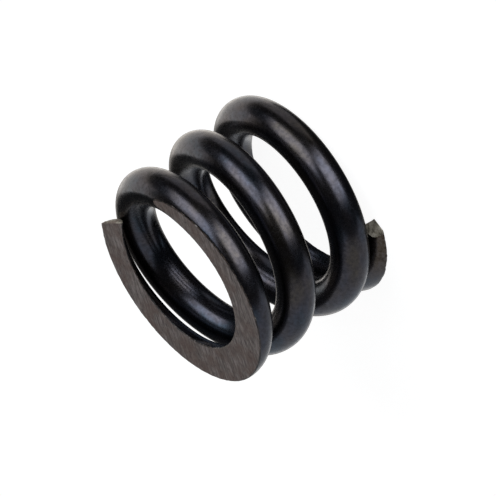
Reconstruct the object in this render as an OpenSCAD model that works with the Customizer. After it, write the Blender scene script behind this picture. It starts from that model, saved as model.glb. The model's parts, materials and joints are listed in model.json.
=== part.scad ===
// Closed and ground compression coil spring, wound left-handed from round wire.
// +Z runs along the coil axis. The spring stands on its lower ground face at z = 0.
// The wire is held as two end coils and a chain of short lengths between them, so
// that it can be flexed: every length is an arc of a circle, and neighbours meet
// end to end with a hairline cut between them. The arcs of an end coil meet in the
// same way, and a core inside the wire makes them one solid.

/* [Wire and coil] */
// Wire diameter
wire_d = 6.5; // [5.5:0.5:6.5]
// Mean coil diameter, from wire centre to wire centre
coil_d = 32; // [28:0.5:36]

/* [Winding] */
// Turns in each closed end coil, from the ground tip to the first free length
end_turns = 0.825; // [0.825:0.005:0.86]
// Turns in the free, working part of the coil
active_turns = 1.9; // [1.9:0.5:2.9]
// Pitch of the closed end coils
end_pitch = 6.25; // [6.2:0.05:6.7]
// Pitch in the middle of the working coil
active_pitch = 12.2; // [11.5:0.1:14]
// Turns from the tip to where the pitch starts to open
closed_turns = 0.62; // [0.56:0.02:0.64]
// Turns over which the pitch opens out from closed to working
opening_turns = 0.66; // [0.56:0.02:0.68]

/* [Ends] */
// Depth of the wire's centre behind the ground face, at the wire's tip
tip_depth = 1.9; // [1.25:0.05:1.95]
// How far each tip stands out past the coil, where the wire springs open
tip_flare = 0.6; // [0.2:0.05:0.8]
// Slant of the cut that parts the wire from its stock, the same way at both tips
tip_slant = 38; // [0:1:40]

/* [Flexing] */
// Number of free lengths that the working coil is divided into
length_count = 16; // [16:4:24]
// Width of the hairline cut between two neighbouring lengths
cut_gap = 0.05; // [0.04:0.01:0.1]

/* [Hidden] */
$fn = 96;
coil_r = coil_d / 2;
total_turns = 2 * end_turns + active_turns;

// Angle about the coil axis that one cut takes
cut_angle = 360 * cut_gap / (PI * coil_d);

// Arcs in one end coil, and how many of them from the tip are flared
end_arcs = 6;
flared_arcs = 2;
arc_turns = end_turns / end_arcs;
flare_turns = flared_arcs * arc_turns;

// How much wider the flared arcs are than the coil
flare_r = tip_flare / (1 - cos(360 * flare_turns));

// Turns that the wire is made longer by at a tip, to be cut off at a slant
tip_spare = 0.03;

// Core that joins two arcs of an end coil across their cut
core_d = 0.9 * wire_d;
core_length = core_d / 4;

// Share of a turn that the pitch has opened by, summed up to s turns past the start
function opened(s) =
    let (u = max(0, min(1, s / opening_turns)))
    opening_turns * (u * u * u - u * u * u * u / 2) + max(0, s - opening_turns);

// Height of the wire's centre above the lower ground face, s turns from the lower tip
function centre_z(s) =
    end_pitch * s - tip_depth
    + (active_pitch - end_pitch)
      * (opened(s - closed_turns) - opened(s - (total_turns - closed_turns - opening_turns)));

free_length = centre_z(total_turns) - tip_depth;

function length_name(i) = str("wire_length_", i < 9 ? "0" : "", i + 1);
LENGTHS = [for (i = [0 : length_count - 1]) length_name(i)];

// Round wire from s0 to s1 turns, less half a cut at each end: one arc of a circle,
// tilted to climb with the coil, whose distance from the coil axis is r
module wire_arc(s0, s1, r = coil_r) {
    half_angle = 180 * (s1 - s0) - cut_angle / 2;
    climb = centre_z(s1 - cut_angle / 720) - centre_z(s0 + cut_angle / 720);
    tilt = atan(climb / (2 * r * sin(half_angle)));
    arc_half = atan(cos(tilt) * tan(half_angle));
    arc_r = r * sin(half_angle) / (cos(tilt) * sin(arc_half));
    translate([0, 0, (centre_z(s0) + centre_z(s1)) / 2])
        rotate([0, 0, -180 * (s0 + s1)])
            translate([r * cos(half_angle) - arc_r * cos(arc_half), 0, 0])
                rotate([-tilt, 0, 0])
                    rotate([0, 0, -arc_half])
                        rotate_extrude(angle = 2 * arc_half)
                            translate([arc_r, 0])
                                circle(d = wire_d);
}

// Short core, thinner than the wire, that makes two arcs of an end coil one piece
module arc_core(s, r = coil_r) {
    lead = atan(end_pitch / (2 * PI * r));
    translate([0, 0, centre_z(s)])
        rotate([0, 0, -360 * s])
            translate([r, 0, 0])
                rotate([90 - lead, 0, 0])
                    cylinder(d = core_d, h = core_length, center = true);
}

// Moves a wider arc off the coil axis, so that it runs on from the coil without a kink
module flared() {
    translate([-flare_r * cos(360 * flare_turns), flare_r * sin(360 * flare_turns), 0])
        children();
}

// One closed end coil, from its tip at 0 turns, before its end is cut and ground flat
module end_winding() {
    flared() {
        wire_arc(-tip_spare, arc_turns, coil_r + flare_r);
        for (k = [1 : flared_arcs - 1]) {
            arc_core(k * arc_turns, coil_r + flare_r);
            wire_arc(k * arc_turns, (k + 1) * arc_turns, coil_r + flare_r);
        }
    }
    for (k = [flared_arcs : end_arcs - 1]) {
        arc_core(k * arc_turns);
        wire_arc(k * arc_turns, (k + 1) * arc_turns);
    }
}

// What is cut off beyond the tip, along a plane that is turned by slant about the tip
module tip_offcut(slant) {
    flared()
        translate([coil_r + flare_r, 0, 0])
            rotate([0, 0, slant])
                translate([-wire_d, 0, -wire_d])
                    cube([2 * wire_d, wire_d, 2 * wire_d]);
}

// End coil standing on its ground face
module ground_end_coil(slant) {
    difference() {
        end_winding();
        tip_offcut(slant);
        translate([-coil_d, -coil_d, -coil_d])
            cube([2 * coil_d, 2 * coil_d, coil_d]);
    }
}

module lower_end_coil() {
    color("dimgray")
        ground_end_coil(tip_slant);
}

module upper_end_coil() {
    color("dimgray")
        translate([0, 0, free_length])
            rotate([0, 0, -360 * total_turns])
                rotate([180, 0, 0])
                    ground_end_coil(-tip_slant);
}

// Free length number i of the working coil
module wire_length(i) {
    step = active_turns / length_count;
    s0 = end_turns + i * step;
    color("slategray")
        wire_arc(s0, s0 + step);
}

lower_end_coil();
for (i = [0 : length_count - 1]) {
    wire_length(i);
}
upper_end_coil();
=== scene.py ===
"""Coil spring of blackened round wire, wound left-handed, with closed and ground ends."""
import json
import math

import bmesh
import bpy
import numpy as np
from mathutils import Matrix, Vector, noise

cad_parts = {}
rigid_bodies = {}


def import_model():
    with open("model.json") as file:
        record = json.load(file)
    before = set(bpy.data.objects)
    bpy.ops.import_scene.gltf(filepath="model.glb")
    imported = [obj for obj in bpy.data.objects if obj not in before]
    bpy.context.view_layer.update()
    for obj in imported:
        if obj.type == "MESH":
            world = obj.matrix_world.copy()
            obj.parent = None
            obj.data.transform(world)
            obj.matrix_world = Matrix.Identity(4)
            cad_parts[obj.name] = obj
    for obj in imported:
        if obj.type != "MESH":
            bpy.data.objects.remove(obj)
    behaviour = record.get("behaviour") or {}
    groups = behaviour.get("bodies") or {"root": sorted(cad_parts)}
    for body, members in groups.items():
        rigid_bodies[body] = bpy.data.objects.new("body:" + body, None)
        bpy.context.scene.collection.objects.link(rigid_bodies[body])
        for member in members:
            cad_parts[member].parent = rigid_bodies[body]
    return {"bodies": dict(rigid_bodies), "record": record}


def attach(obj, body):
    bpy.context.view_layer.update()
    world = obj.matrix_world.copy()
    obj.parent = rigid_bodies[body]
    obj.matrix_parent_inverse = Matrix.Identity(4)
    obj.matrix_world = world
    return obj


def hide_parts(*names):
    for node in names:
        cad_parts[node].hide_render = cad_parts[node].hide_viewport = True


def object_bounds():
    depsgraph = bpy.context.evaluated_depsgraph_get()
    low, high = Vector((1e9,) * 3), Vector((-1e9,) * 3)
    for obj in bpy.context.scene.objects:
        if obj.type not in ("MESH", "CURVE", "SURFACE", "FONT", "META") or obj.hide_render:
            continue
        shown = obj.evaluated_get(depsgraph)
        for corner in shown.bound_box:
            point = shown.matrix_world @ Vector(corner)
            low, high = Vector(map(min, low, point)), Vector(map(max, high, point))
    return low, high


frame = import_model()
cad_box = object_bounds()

MM = 0.001

# The wire's path, as the CAD part has it. Lengths are in metres, and winding is in turns.
MOUNTS = {mount["name"]: mount for mount in frame["record"]["mounts"]}
INNER_RADIUS = MOUNTS["inner_guide"]["dims"]["r_mm"] * MM
OUTER_RADIUS = MOUNTS["outer_pocket"]["dims"]["r_mm"] * MM
WIRE_RADIUS = (OUTER_RADIUS - INNER_RADIUS) / 2
COIL_RADIUS = (OUTER_RADIUS + INNER_RADIUS) / 2
LENGTHS = sorted(name for name in frame["bodies"] if name.startswith("wire_length_"))
END_TURNS = 0.825
ACTIVE_TURNS = 1.9
TOTAL_TURNS = 2 * END_TURNS + ACTIVE_TURNS
END_PITCH = 6.25 * MM
ACTIVE_PITCH = 12.2 * MM
CLOSED_TURNS = 0.62
OPENING_TURNS = 0.66
TIP_DEPTH = 1.9 * MM
TIP_FLARE = 0.6 * MM
FLARE_TURNS = 0.275
FLARE_RADIUS = TIP_FLARE / (1 - math.cos(math.tau * FLARE_TURNS))
TURN_LENGTH = math.tau * COIL_RADIUS

# How finely the wire is meshed, and the half angle of the narrowest ground face
SECTIONS_PER_TURN = 256
ARC_COLUMNS = 72
FACE_COLUMNS = 20
NARROWEST_FACE = math.radians(2.5)
SHARP_ANGLE = math.radians(32)
TANGENT_STEP = 1e-4

# Broken edge of a ground face: its width, the share by which that varies, how many waves
# of it there are in a turn, and the most of the face's half width that it takes
EDGE_BREAK = 0.15 * MM
EDGE_RIPPLE = 0.65
LONG_WAVES, SHORT_WAVES = 55, 190
WIDEST_EDGE = 0.25

# The two tips: the space around one that its cuts reach, how many turns the wire is made
# beyond its end, and how finely and how roughly it is cut off there
TIP_REGION = 7.5 * MM
TIP_SPARE = 0.045
CUT_TOLERANCE = 1e-7
CUT_DIVISIONS = 4
CUT_GRAIN = 0.6 * MM
CUT_ROUGHNESS = 0.10 * MM
CUT_FALLOFF, CUT_LACUNARITY, CUT_OCTAVES = 0.8, 2.1, 4

# Cuts of each tip: the end, and the offset, slope and rise that cut_tip describes
UPPER_CUTS = [(1, 0.37 * MM, 0.80, 0.0)]
LOWER_CUTS = [(-1, -0.49 * MM, -0.78, -0.15), (-1, 1.42 * MM, 1.29, 2.54)]

# Material slots of every stretch of wire
BLACKENED, GROUND, EDGE, SHEARED = range(4)


def opened(s):
    """Share of a turn that the pitch has opened by, summed up to s turns past the start."""
    u = np.clip(s / OPENING_TURNS, 0, 1)
    return OPENING_TURNS * (u**3 - u**4 / 2) + np.maximum(0, s - OPENING_TURNS)


def centre_height(s):
    """Height of the wire's centre, s turns from the lower tip."""
    closing = s - (TOTAL_TURNS - CLOSED_TURNS - OPENING_TURNS)
    gained = opened(s - CLOSED_TURNS) - opened(closing)
    return END_PITCH * s - TIP_DEPTH + (ACTIVE_PITCH - END_PITCH) * gained


FREE_LENGTH = float(centre_height(np.array(TOTAL_TURNS))) - TIP_DEPTH


def plan_offset(s):
    """How far the tips' flare moves the wire's centre: outwards, and towards the tip."""
    from_tip = np.minimum(s, TOTAL_TURNS - s)
    before = math.tau * (FLARE_TURNS - from_tip)
    flared = from_tip < FLARE_TURNS
    out = np.where(flared, FLARE_RADIUS * (1 - np.cos(before)), 0)
    along = np.where(flared, FLARE_RADIUS * np.sin(before), 0)
    return out, along


def centre(s):
    """Points on the wire's centreline, s turns from the lower tip."""
    turn = -math.tau * s
    outward = np.stack([np.cos(turn), np.sin(turn), 0 * s], -1)
    onward = np.stack([np.sin(turn), -np.cos(turn), 0 * s], -1)
    out, along = plan_offset(s)
    tipward = np.where(s < TOTAL_TURNS / 2, -1, 1)
    point = (COIL_RADIUS + out)[..., None] * outward + (along * tipward)[..., None] * onward
    point[..., 2] = centre_height(s)
    return point


def unit(vectors):
    return vectors / np.linalg.norm(vectors, axis=-1, keepdims=True)


def section_axes(s):
    """The wire's direction, and the directions outwards and upwards across it, at each s."""
    onward = unit(centre(s + TANGENT_STEP) - centre(s - TANGENT_STEP))
    turn = -math.tau * s
    outward = np.stack([np.cos(turn), np.sin(turn), 0 * s], -1)
    outward = unit(outward - (outward * onward).sum(-1, keepdims=True) * onward)
    upward = np.cross(onward, outward)
    upward *= np.sign(upward[..., 2:])
    return onward, outward, upward


def edge_break(s, side):
    """Width of the broken edge of a ground face, which varies along it. Side is -1 or 1."""
    ripple = (noise.noise(Vector((s * LONG_WAVES, 7 * side, 0)))
              + noise.noise(Vector((s * SHORT_WAVES, side, 5))))
    return EDGE_BREAK * (1 + EDGE_RIPPLE * ripple)


def end_section(s, depth):
    """Outline of a section of an end coil, with its centre this far above the ground face,
    as offsets outwards and away from the face. The face comes first, then the round."""
    half_angle = max(math.acos(min(1, max(-1, depth / WIRE_RADIUS))), NARROWEST_FACE)
    half_width = WIRE_RADIUS * math.sin(half_angle)
    inner, outer = (min(edge_break(s, side), half_width * WIDEST_EDGE) for side in (-1, 1))
    face = np.linspace(inner - half_width, half_width - outer, FACE_COLUMNS + 1)
    arc = np.linspace(half_angle + outer / WIRE_RADIUS,
                      math.tau - half_angle - inner / WIRE_RADIUS, ARC_COLUMNS - 1)
    out = np.concatenate([face, WIRE_RADIUS * np.sin(arc)])
    up = np.concatenate([np.full(len(face), -depth), -WIRE_RADIUS * np.cos(arc)])
    if half_angle == NARROWEST_FACE:
        up[:len(face)] = -np.sqrt(WIRE_RADIUS**2 - face**2)
    return out, up


def plain_section():
    """Outline of a whole round section, with its points where end_section has them."""
    return end_section(0, 2 * WIRE_RADIUS)


def wire_mesh(name, start, end, face_side=0):
    """Closed mesh of the wire from start to end, in turns. face_side is -1 where it is
    ground off at the bottom of the coil, 1 where it is ground off at the top, and else 0."""
    rows = max(2, round((end - start) * SECTIONS_PER_TURN) + 1)
    s = np.linspace(start, end, rows)
    middle = centre(s)
    _, outward, upward = section_axes(s)
    if face_side == 0:
        sections = [plain_section()] * rows
    else:
        plane = 0 if face_side < 0 else FREE_LENGTH
        depths = (plane - middle[:, 2]) * face_side / upward[:, 2]
        sections = [end_section(*pair) for pair in zip(s, depths)]
    away = -face_side if face_side else 1
    out = np.array([section[0] for section in sections])
    up = np.array([section[1] for section in sections]) * away
    points = middle[:, None] + out[..., None] * outward[:, None] + up[..., None] * upward[:, None]
    if face_side:
        points[..., 2] = np.clip(points[..., 2], 0, FREE_LENGTH)
    columns = out.shape[1]
    grid = np.arange(rows * columns).reshape(rows, columns)
    beside = np.roll(grid, -1, axis=1)
    quads = np.stack([grid[:-1], beside[:-1], beside[1:], grid[1:]], -1).reshape(-1, 4)
    mesh = bpy.data.meshes.new(name)
    caps = [grid[0].tolist(), grid[-1].tolist()]
    mesh.from_pydata(points.reshape(-1, 3).tolist(), [], quads.tolist() + caps)
    place = np.stack([out, up, np.broadcast_to(s[:, None] * TURN_LENGTH, out.shape)], -1)
    attribute = mesh.attributes.new("wire_place", "FLOAT_VECTOR", "POINT")
    attribute.data.foreach_set("vector", place.astype(np.float32).ravel())
    if face_side:
        ground = np.zeros((rows - 1, columns), int)
        is_ground = (depths < WIRE_RADIUS * math.cos(NARROWEST_FACE))[:-1]
        ground[is_ground, :FACE_COLUMNS] = GROUND
        ground[is_ground, FACE_COLUMNS] = EDGE
        ground[is_ground, -1] = EDGE
        indices = np.concatenate([ground.ravel(), [BLACKENED, BLACKENED]])
        mesh.polygons.foreach_set("material_index", indices.astype(np.int32))
    return mesh


def tip_axes(end):
    """A tip's middle, and the directions outwards, away from the coil along the wire, and
    away from the ground face. The end is -1 for the lower tip and 1 for the upper one."""
    s = np.array([0.0 if end < 0 else TOTAL_TURNS])
    onward, outward, upward = (axes[0] for axes in section_axes(s))
    return centre(s)[0], outward, onward * end, upward * -end


def cut_tip(bm, end, offset, slope, rise):
    """Cuts the wire's tip off along a plane, and closes it with a torn face. Where the plane
    crosses the middle of the ground face, it lies offset beyond the wire's end. It comes back
    by slope for each metre outwards and by rise for each metre away from the ground face."""
    middle, outward, tipward, inward = (Vector(v) for v in tip_axes(end))
    normal = (tipward + slope * outward + rise * inward).normalized()
    face_middle = middle + inward * TIP_DEPTH
    point = face_middle + tipward * offset
    near = [v for v in bm.verts if (v.co - middle).length < TIP_REGION]
    chosen = set(near)
    edges = [e for e in bm.edges if chosen.issuperset(e.verts)]
    faces = [f for f in bm.faces if chosen.issuperset(f.verts)]
    result = bmesh.ops.bisect_plane(bm, geom=near + edges + faces, dist=CUT_TOLERANCE,
                                    plane_co=point, plane_no=normal, clear_outer=True)
    rim = [e for e in result["geom_cut"] if isinstance(e, bmesh.types.BMEdge)]
    filled = bmesh.ops.contextual_create(bm, geom=rim)["faces"]
    for face in filled:
        face.material_index = SHEARED
    roughen(bm, filled, normal)


def roughen(bm, faces, normal):
    """Divides a cut face, and moves its points along its normal as a torn surface."""
    rim = {v for face in faces for v in face.verts}
    triangles = bmesh.ops.triangulate(bm, faces=faces)["faces"]
    inside = list({e for f in triangles for e in f.edges if not rim_edge(e, triangles)})
    divided = bmesh.ops.subdivide_edges(bm, edges=inside, cuts=CUT_DIVISIONS)
    for vertex in {g for g in divided["geom_inner"] if isinstance(g, bmesh.types.BMVert)}:
        if vertex not in rim:
            torn = noise.fractal(vertex.co / CUT_GRAIN, CUT_FALLOFF, CUT_LACUNARITY,
                                 CUT_OCTAVES)
            vertex.co += normal * torn * CUT_ROUGHNESS


def rim_edge(edge, faces):
    """Whether an edge lies on the outline of these faces."""
    return sum(face in faces for face in edge.link_faces) < 2


def finish_mesh(mesh, cuts=()):
    """Cuts a tip where there is one, points the faces outwards, and shades them smoothly."""
    bm = bmesh.new()
    bm.from_mesh(mesh)
    for cut in cuts:
        cut_tip(bm, *cut)
    bmesh.ops.recalc_face_normals(bm, faces=bm.faces)
    bm.to_mesh(mesh)
    bm.free()
    mesh.polygons.foreach_set("use_smooth", [True] * len(mesh.polygons))
    mesh.set_sharp_from_angle(angle=SHARP_ANGLE)


def add_wire(body, start, end, face_side=0, cuts=()):
    """Adds one stretch of the wire, which stands for the CAD node of the same name."""
    mesh = wire_mesh(body + "_wire", start, end, face_side)
    for material in WIRE_MATERIALS:
        mesh.materials.append(material)
    finish_mesh(mesh, cuts)
    piece = bpy.data.objects.new(body + "_wire", mesh)
    bpy.context.scene.collection.objects.link(piece)
    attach(piece, body)
    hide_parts(body)


# Materials. Their colours are red, green and blue, linear.
BLUE_BLACK = (0.048, 0.062, 0.082)
VIOLET_BLACK = (0.064, 0.065, 0.082)
PLUM_BLACK = (0.074, 0.067, 0.074)
BROWN_BLACK = (0.080, 0.069, 0.061)
WORN_BLACK = (0.032, 0.030, 0.034)
SCORCHED_DARK = (0.034, 0.023, 0.016)
SCORCHED_BROWN = (0.085, 0.066, 0.050)
SCORCHED_PALE = (0.105, 0.088, 0.080)
GROUND_DARK = (0.090, 0.073, 0.066)
GROUND_GREY = (0.172, 0.143, 0.132)
GROUND_PALE = (0.295, 0.252, 0.235)
GROUND_BROWN = (0.140, 0.096, 0.081)
PIT_BROWN = (0.036, 0.029, 0.025)
SCUFF_GREY = (0.27, 0.24, 0.225)
EDGE_BLACK = (0.006, 0.0050, 0.0045)
EDGE_BROWN = (0.040, 0.025, 0.018)
EDGE_GREY = (0.08, 0.065, 0.055)
NICK_BRIGHT = (0.30, 0.27, 0.25)
TORN_DARK = (0.045, 0.037, 0.026)
TORN_OLIVE = (0.190, 0.165, 0.125)
TORN_PALE = (0.400, 0.360, 0.290)
STAIN_BROWN = (0.075, 0.040, 0.025)

# Direction of the grinding marks, and how far from a tip the wire is scorched fully and at all
GRIND_TURN = math.radians(35)
SCORCH_FULL = 4.5 * MM
SCORCH_END = 15 * MM


class Shader:
    """A material's node tree, built with one short call for each node."""

    def __init__(self, name):
        self.material = bpy.data.materials.new(name)
        self.material.use_nodes = True
        self.tree = self.material.node_tree
        self.tree.nodes.clear()

    def add(self, kind, inputs=(), **settings):
        """Adds a node. Inputs hold values, or sockets of other nodes to link from."""
        node = self.tree.nodes.new("ShaderNode" + kind)
        for key, value in settings.items():
            setattr(node, key, value)
        for key, value in dict(inputs).items():
            if isinstance(value, bpy.types.NodeSocket):
                self.tree.links.new(value, node.inputs[key])
            else:
                node.inputs[key].default_value = value
        return node

    def wire_place(self, along=1.0):
        """Place in the wire as if it were straight, in metres, scaled along the wire."""
        place = self.add("Attribute", attribute_name="wire_place")
        stretched = self.add("Mapping", {"Vector": place.outputs["Vector"],
                                         "Scale": (1, 1, along)})
        return stretched.outputs["Vector"]

    def body_place(self, along=1.0, turn=0.0):
        """Place in the object's own frame, turned about the coil axis and scaled along Y."""
        place = self.add("TexCoord")
        stretched = self.add("Mapping", {"Vector": place.outputs["Object"],
                                         "Scale": (1, along, 1), "Rotation": (0, 0, turn)})
        return stretched.outputs["Vector"]

    def near_tip(self, full, none):
        """Factor that is one up to full metres from either tip, and nothing beyond none."""
        place = self.add("Attribute", attribute_name="wire_place")
        along = self.add("SeparateXYZ", {"Vector": place.outputs["Vector"]}).outputs["Z"]
        lower = self.span(along, 1.0, 0.0, full, none)
        far = TOTAL_TURNS * TURN_LENGTH
        upper = self.span(along, 0.0, 1.0, far - none, far - full)
        return self.add("Math", {0: lower, 1: upper}, operation="ADD").outputs["Value"]

    def noise(self, vector, scale, detail=3.0, roughness=0.55):
        """Noise with this many features to the metre."""
        node = self.add("TexNoise", {"Vector": vector, "Scale": scale, "Detail": detail,
                                     "Roughness": roughness})
        return node.outputs["Fac"]

    def ramp(self, factor, *stops):
        """Colour from pairs of a position and a colour."""
        node = self.add("ValToRGB", {"Fac": factor})
        elements = node.color_ramp.elements
        while len(elements) < len(stops):
            elements.new(0.5)
        for element, (position, colour) in zip(elements, stops):
            element.position = position
            element.color = (*colour, 1)
        return node.outputs["Color"]

    def span(self, factor, low, high, from_low=0.3, from_high=0.7):
        """Maps a factor's values between from_low and from_high to those from low to high."""
        node = self.add("MapRange", {"Value": factor, "From Min": from_low,
                                     "From Max": from_high, "To Min": low, "To Max": high})
        return node.outputs["Result"]

    def cover(self, factor, under, colour):
        """Colour that goes from the one under it to the given one, as the factor rises."""
        over = colour if isinstance(colour, bpy.types.NodeSocket) else (*colour, 1)
        node = self.add("Mix", {0: factor, 6: under, 7: over}, data_type="RGBA")
        return node.outputs[2]

    def bump(self, height, distance, normal=None):
        """Bump of this height in metres."""
        inputs = {"Height": height, "Distance": distance}
        if normal is not None:
            inputs["Normal"] = normal
        return self.add("Bump", inputs).outputs["Normal"]

    def finish(self, **inputs):
        """Joins everything up in one Principled shader."""
        named = {key.replace("_", " "): value for key, value in inputs.items()}
        shader = self.add("BsdfPrincipled", named)
        self.add("OutputMaterial", {"Surface": shader.outputs["BSDF"]})
        return self.material


def blackened_wire():
    """Satin black oxide over drawn wire: near black, tinted blue, violet and brown in clouds,
    with fine streaks along the wire and small pits. It is browner near the cut tips."""
    m = Shader("blackened_wire")
    cloud = m.noise(m.wire_place(along=0.5), scale=210)
    patch = m.noise(m.wire_place(), scale=1500, detail=5, roughness=0.65)
    streak = m.noise(m.wire_place(along=0.08), scale=2400)
    pit = m.noise(m.wire_place(), scale=2700, roughness=0.6)
    tinted = m.ramp(cloud, (0.36, BLUE_BLACK), (0.46, VIOLET_BLACK), (0.56, PLUM_BLACK),
                    (0.68, BROWN_BLACK))
    patched = m.cover(m.span(patch, 0.0, 0.6, 0.38, 0.64), tinted, WORN_BLACK)
    scorched = m.ramp(patch, (0.40, SCORCHED_DARK), (0.50, SCORCHED_BROWN),
                      (0.60, SCORCHED_PALE))
    colour = m.cover(m.near_tip(SCORCH_FULL, SCORCH_END), patched, scorched)
    roughness = m.span(patch, 0.18, 0.32)
    grain = m.bump(streak, 0.0030 * MM)
    pits = m.bump(pit, 0.0070 * MM, normal=grain)
    return m.finish(Base_Color=colour, Metallic=1.0, Roughness=roughness, Normal=pits)


def ground_steel():
    """Ground end face: matt warm grey with fine grinding marks, brown clouds and pits."""
    m = Shader("ground_end_face")
    along_marks = m.body_place(along=0.12, turn=GRIND_TURN)
    marks = m.noise(along_marks, scale=3000, detail=5, roughness=0.7)
    along_grit = m.body_place(along=0.5, turn=GRIND_TURN)
    grit = m.noise(along_grit, scale=2600, detail=4, roughness=0.7)
    cloud = m.noise(m.body_place(), scale=330, detail=5, roughness=0.65)
    tone = m.ramp(marks, (0.38, GROUND_DARK), (0.50, GROUND_GREY), (0.62, GROUND_PALE))
    worn = m.cover(m.span(cloud, 0.0, 0.8, 0.42, 0.62), tone, GROUND_BROWN)
    pitted = m.cover(m.span(grit, 0.0, 0.8, 0.55, 0.70), worn, PIT_BROWN)
    scuffed = m.cover(m.span(grit, 0.7, 0.0, 0.28, 0.43), pitted, SCUFF_GREY)
    scored = m.bump(marks, 0.020 * MM)
    gritty = m.bump(grit, 0.018 * MM, normal=scored)
    return m.finish(Base_Color=scuffed, Roughness=0.62, IOR=1.45, Normal=gritty)


def broken_edge():
    """Broken edge of a ground face: mostly blackened, with bright nicks."""
    m = Shader("ground_edge")
    nick = m.noise(m.wire_place(), scale=1500)
    colour = m.ramp(nick, (0.46, EDGE_BLACK), (0.54, EDGE_BROWN), (0.64, EDGE_GREY),
                    (0.70, NICK_BRIGHT))
    return m.finish(Base_Color=colour, Roughness=0.5, IOR=1.5)


def sheared_steel():
    """Torn end of the wire where it was cut off: rough, olive grey and brown."""
    m = Shader("sheared_end")
    torn = m.noise(m.body_place(), scale=1100, detail=6, roughness=0.7)
    stain = m.noise(m.body_place(), scale=420)
    tone = m.ramp(torn, (0.36, TORN_DARK), (0.48, TORN_OLIVE), (0.62, TORN_PALE))
    colour = m.cover(m.span(stain, 0.0, 0.85, 0.5, 0.6), tone, STAIN_BROWN)
    return m.finish(Base_Color=colour, Roughness=0.5, IOR=1.5,
                    Normal=m.bump(torn, 0.06 * MM))


# Scene

def facing(azimuth, elevation):
    """Direction from the object's middle, in degrees of azimuth and elevation."""
    turn, climb = math.radians(azimuth), math.radians(elevation)
    return Vector((math.cos(climb) * math.cos(turn), math.cos(climb) * math.sin(turn),
                   math.sin(climb)))


def softbox(name, azimuth, elevation, width, height, radiance, colour):
    """Rectangular light panel around the object, its size in degrees as seen from there. It
    isn't itself seen by the camera."""
    light = bpy.data.lights.new(name, "AREA")
    light.shape = "RECTANGLE"
    light.size = 2 * LIGHT_DISTANCE * math.tan(math.radians(width / 2))
    light.size_y = 2 * LIGHT_DISTANCE * math.tan(math.radians(height / 2))
    light.color = colour
    light.energy = radiance * math.pi * light.size * light.size_y
    lamp = bpy.data.objects.new(name, light)
    direction = facing(azimuth, elevation)
    lamp.location = MIDDLE + direction * LIGHT_DISTANCE
    lamp.rotation_euler = (-direction).to_track_quat("-Z", "Y").to_euler()
    lamp.visible_camera = False
    bpy.context.scene.collection.objects.link(lamp)


def add_camera():
    """Camera at the photograph's viewing angle."""
    data = bpy.data.cameras.new("camera")
    data.sensor_width = SENSOR_WIDTH
    data.lens = SENSOR_WIDTH * CAMERA_DISTANCE / VIEW_WIDTH
    data.clip_end = CAMERA_REACH
    camera = bpy.data.objects.new("camera", data)
    back = facing(CAMERA_AZIMUTH, CAMERA_ELEVATION)
    turned = (-back).to_track_quat("-Z", "Y").to_matrix() @ Matrix.Rotation(
        -math.radians(CAMERA_ROLL), 3, "Z")
    aim = MIDDLE + turned @ Vector((AIM_RIGHT, AIM_UP, 0))
    camera.matrix_world = Matrix.Translation(aim + back * CAMERA_DISTANCE) @ turned.to_4x4()
    bpy.context.scene.collection.objects.link(camera)
    bpy.context.scene.camera = camera


def add_floor():
    """Plain pale floor under the part, which shines softly, as a light table does. The part
    neither reflects it nor shades it, because some of the lights are below it."""
    mesh = bpy.data.meshes.new("floor")
    half, low = FLOOR_SIZE / 2, cad_box[0][2] - FLOOR_GAP
    corners = [(-half, -half, low), (half, -half, low), (half, half, low), (-half, half, low)]
    mesh.from_pydata(corners, [], [(0, 1, 2, 3)])
    m = Shader("floor")
    mesh.materials.append(m.finish(Base_Color=FLOOR_COLOUR, Roughness=1.0,
                                   Emission_Color=WHITE, Emission_Strength=FLOOR_GLOW))
    floor = bpy.data.objects.new("floor", mesh)
    floor.visible_glossy = False
    floor.visible_diffuse = False
    floor.visible_shadow = False
    bpy.context.scene.collection.objects.link(floor)


def add_world():
    """Dim studio around the object, with a white background to look at."""
    world = bpy.data.worlds.new("studio")
    world.use_nodes = True
    tree = world.node_tree
    path = tree.nodes.new("ShaderNodeLightPath")
    mix = tree.nodes.new("ShaderNodeMixShader")
    seen = tree.nodes.new("ShaderNodeBackground")
    seen.inputs["Color"].default_value = WHITE
    tree.nodes["Background"].inputs["Color"].default_value = STUDIO_COLOUR
    tree.links.new(path.outputs["Is Camera Ray"], mix.inputs["Fac"])
    tree.links.new(tree.nodes["Background"].outputs[0], mix.inputs[1])
    tree.links.new(seen.outputs[0], mix.inputs[2])
    tree.links.new(mix.outputs[0], tree.nodes["World Output"].inputs["Surface"])
    bpy.context.scene.world = world
    bpy.context.scene.view_settings.view_transform = "Standard"


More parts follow.
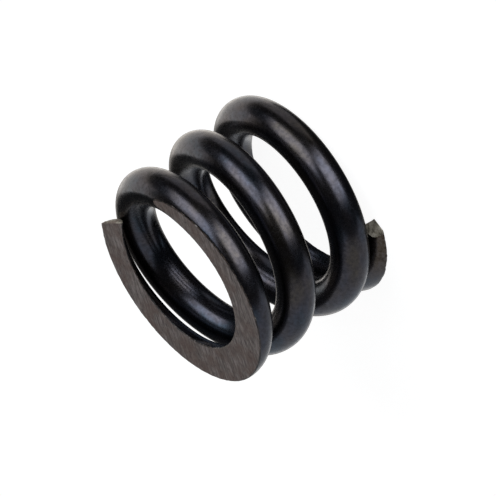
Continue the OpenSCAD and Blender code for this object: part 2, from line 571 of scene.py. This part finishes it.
# The wire, from its lower tip to its upper one. The materials are in the order of the slots.
WIRE_MATERIALS = [blackened_wire(), ground_steel(), broken_edge(), sheared_steel()]
add_wire("lower_end_coil", -TIP_SPARE, END_TURNS, -1, LOWER_CUTS)
LENGTH_TURNS = ACTIVE_TURNS / len(LENGTHS)
for number, body_name in enumerate(LENGTHS):
    first = END_TURNS + number * LENGTH_TURNS
    add_wire(body_name, first, first + LENGTH_TURNS)
add_wire("upper_end_coil", TOTAL_TURNS - END_TURNS, TOTAL_TURNS + TIP_SPARE, 1, UPPER_CUTS)

# Camera, where the photograph was taken from. Its angles are in degrees.
MIDDLE = (Vector(cad_box[0]) + Vector(cad_box[1])) / 2
SENSOR_WIDTH = 36.0
CAMERA_AZIMUTH = 38.21
CAMERA_ELEVATION = 25.56
CAMERA_ROLL = 125.8
CAMERA_DISTANCE = 3.6
CAMERA_REACH = 100
VIEW_WIDTH = 81.02 * MM
AIM_RIGHT = 0.67 * MM
AIM_UP = -1.94 * MM
add_camera()

# Light panels: name, azimuth, elevation, width and height in degrees, radiance and colour
LIGHT_DISTANCE = 0.8
COOL = (0.90, 0.95, 1.0)
WARM = (1.0, 0.95, 0.88)
NEUTRAL = (1, 1, 1)
for panel in [
    ("softbox_front", 38, -14, 34, 46, 3.3, COOL),
    ("softbox_front_edge", 38, -14, 48, 60, 1.9, COOL),
    ("softbox_side", 93, 33, 44, 32, 3.0, COOL),
    ("softbox_side_edge", 93, 33, 58, 46, 1.8, COOL),
    ("wall_left", 180, -6, 46, 80, 1.1, WARM),
    ("wall_far", -75, 0, 100, 120, 0.6, COOL),
    ("wall_above", 122, -42, 50, 40, 0.5, NEUTRAL),
    ("backdrop", -141, -26, 50, 50, 0.45, WARM),
]:
    softbox(*panel)

# Floor and background
WHITE = (1, 1, 1, 1)
STUDIO_COLOUR = (0.03, 0.03, 0.03, 1)
FLOOR_COLOUR = (0.2, 0.2, 0.2, 1)
FLOOR_GLOW = 0.93
FLOOR_SIZE = 40.0
FLOOR_GAP = 0.02 * MM
add_floor()
add_world()
